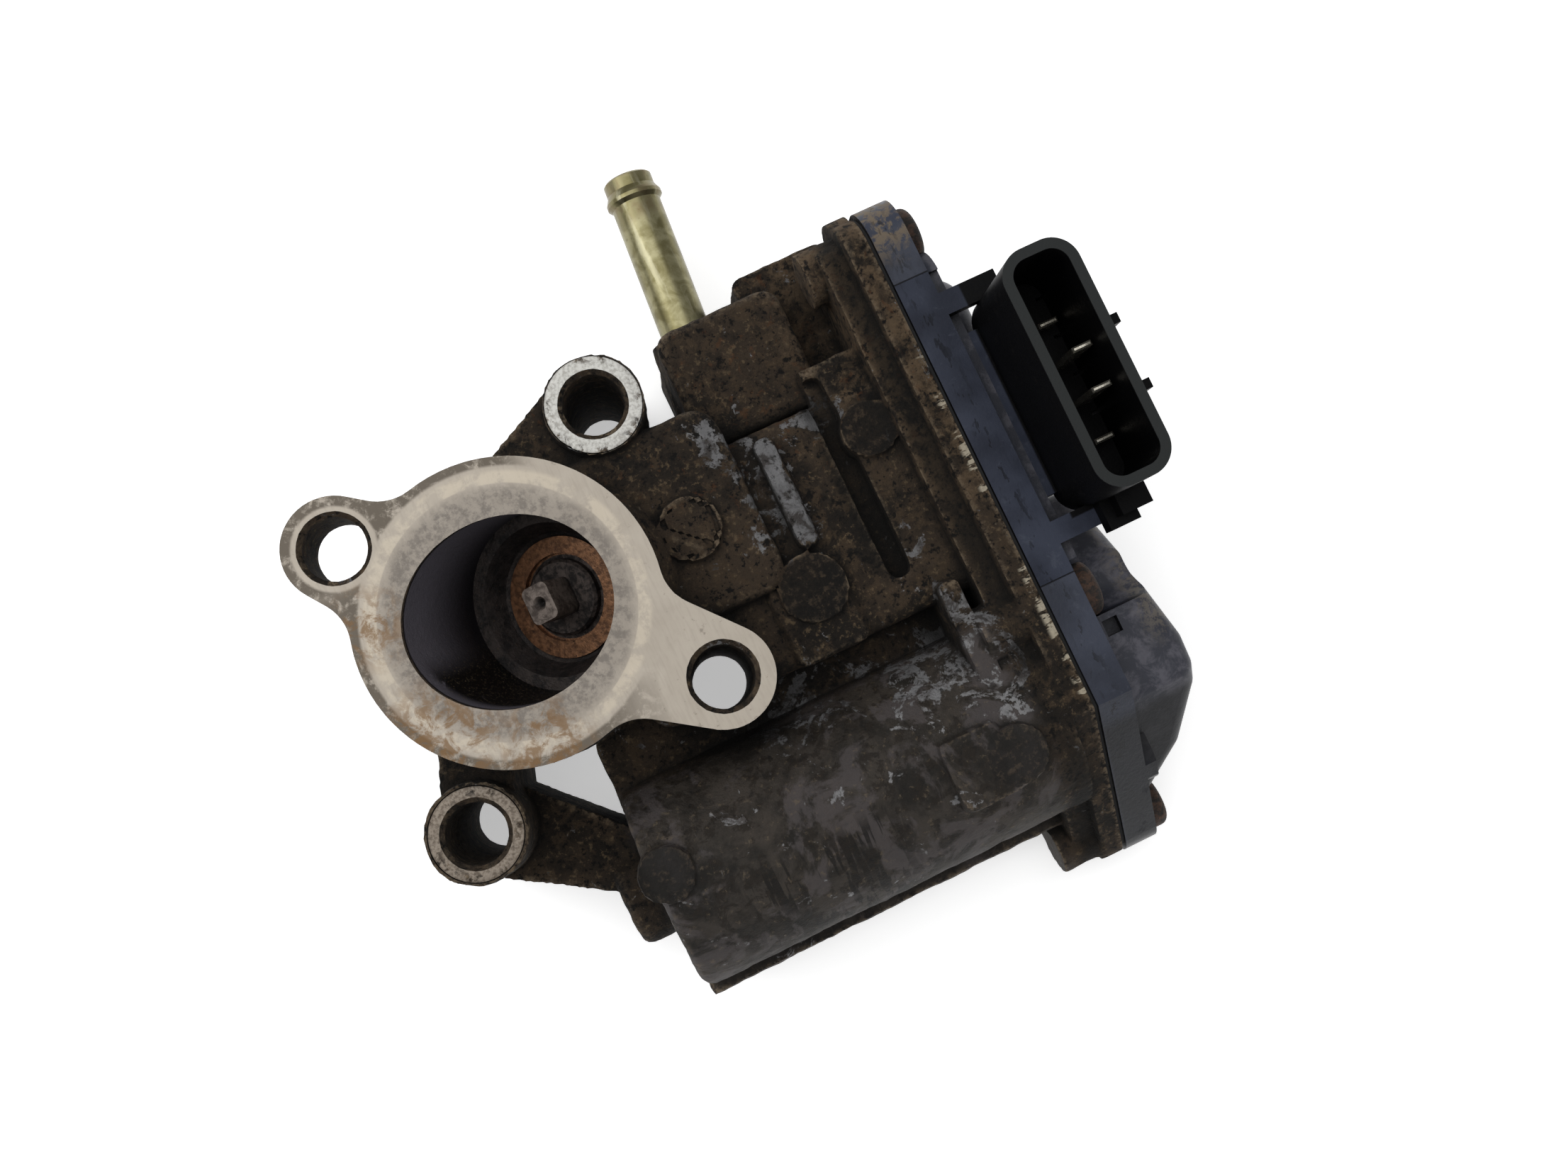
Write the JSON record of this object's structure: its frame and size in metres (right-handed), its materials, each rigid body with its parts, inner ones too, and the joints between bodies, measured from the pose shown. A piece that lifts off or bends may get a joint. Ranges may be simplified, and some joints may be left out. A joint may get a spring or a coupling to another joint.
{
  "type": "egr valve",
  "caption": "Motor-driven exhaust gas recirculation valve: tilted poppet in a flanged alloy body, gear train under a side cover, upright plug socket and coolant spigot.",
  "frame": {"origin": "centre of the gas outlet bore on the mounting face", "axes": "+Z out of the inlet flange, +X towards the gear cover, +Y towards the coolant pipe"},
  "size_m": [0.1198, 0.1322, 0.056],
  "materials": {
    "cast_aluminium": "rough, soot and tan corrosion",
    "cover_plastic": "satin moulded, speckled with dirt",
    "heat_stained_steel": "heat stained, sooty",
    "bronze": "machined",
    "graphite": "matte",
    "zinc_steel": "zinc plated",
    "yellow_zinc": "yellow zinc plated",
    "steel": "ground",
    "spring_steel": "drawn",
    "ferrite": "matte",
    "black_plastic": "satin",
    "gear_plastic": "natural nylon",
    "gasket_rubber": "matte",
    "rusty_steel": "rusty",
    "tinned_copper": "tinned",
    "copper": "turned",
    "brass_gear": "cut teeth",
    "armature_steel": "laminated",
    "circuit_board": "solder mask"
  },
  "bodies": {
    "housing": {"valve_body": "cast_aluminium", "valve_seat": "heat_stained_steel", "stem_bush": "bronze", "stem_seal": "graphite", "bottom_cover": "zinc_steel", "bottom_cover_screws": "zinc_steel", "coolant_pipe": "yellow_zinc", "shaft_bush": "bronze", "shaft_bearing": "steel", "intermediate_pin": "steel", "motor_can": "zinc_steel", "motor_magnets": "ferrite", "motor_brushes": "graphite", "motor_end_cap": "black_plastic", "motor_bushes": "bronze", "motor_plate": "zinc_steel", "motor_plate_screws": "zinc_steel", "gear_cover": "cover_plastic", "cover_gasket": "gasket_rubber", "cover_screws": "rusty_steel", "connector_housing": "black_plastic", "terminal_blades": "tinned_copper", "position_sensor": "circuit_board", "return_spring": "spring_steel"},
    "rotor": {"motor_shaft": "steel", "motor_armature": "armature_steel", "commutator": "copper", "motor_pinion": "brass_gear"},
    "intermediate": {"intermediate_gear": "gear_plastic", "intermediate_pinion": "steel"},
    "cam": {"cam_lever": "steel", "cam_shaft": "steel", "sector_gear": "gear_plastic", "sensor_magnet": "ferrite"},
    "valve": {"valve_head": "heat_stained_steel", "valve_stem": "heat_stained_steel", "spring_retainer": "steel", "retainer_clip": "spring_steel", "follower_pin": "steel"}
  },
  "joints": [
    {"name": "rotor_spin", "type": "hinge", "parent": "housing", "child": "rotor", "pos_m": [0.08, -0.0456, 0.017], "axis": [1, 0, 0], "range_deg": [0, 433.9]},
    {"name": "intermediate_spin", "type": "hinge", "parent": "housing", "child": "intermediate", "pos_m": [0.083, -0.03086, 0.0142], "axis": [1, 0, 0], "range_deg": [-168.8, 0]},
    {"name": "cam_turn", "type": "hinge", "parent": "housing", "child": "cam", "pos_m": [0.06, -0.00828, 0.0195], "axis": [1, 0, 0], "range_deg": [0, 44.1]},
    {"name": "valve_lift", "type": "slide", "parent": "housing", "child": "valve", "axis": [-0.454, 0, 0.891], "range_m": [0, 0.0045], "stiffness_N_per_m": 1500, "springref_m": -0.004, "deforming": ["return_spring"]}
  ],
  "couplings": [
    {"joint": "rotor_spin", "follows": "valve_lift", "rad_per_m": 1682.2},
    {"joint": "intermediate_spin", "follows": "valve_lift", "rad_per_m": -654.18},
    {"joint": "cam_turn", "follows": "valve_lift", "rad_per_m": 170.65}
  ]
}
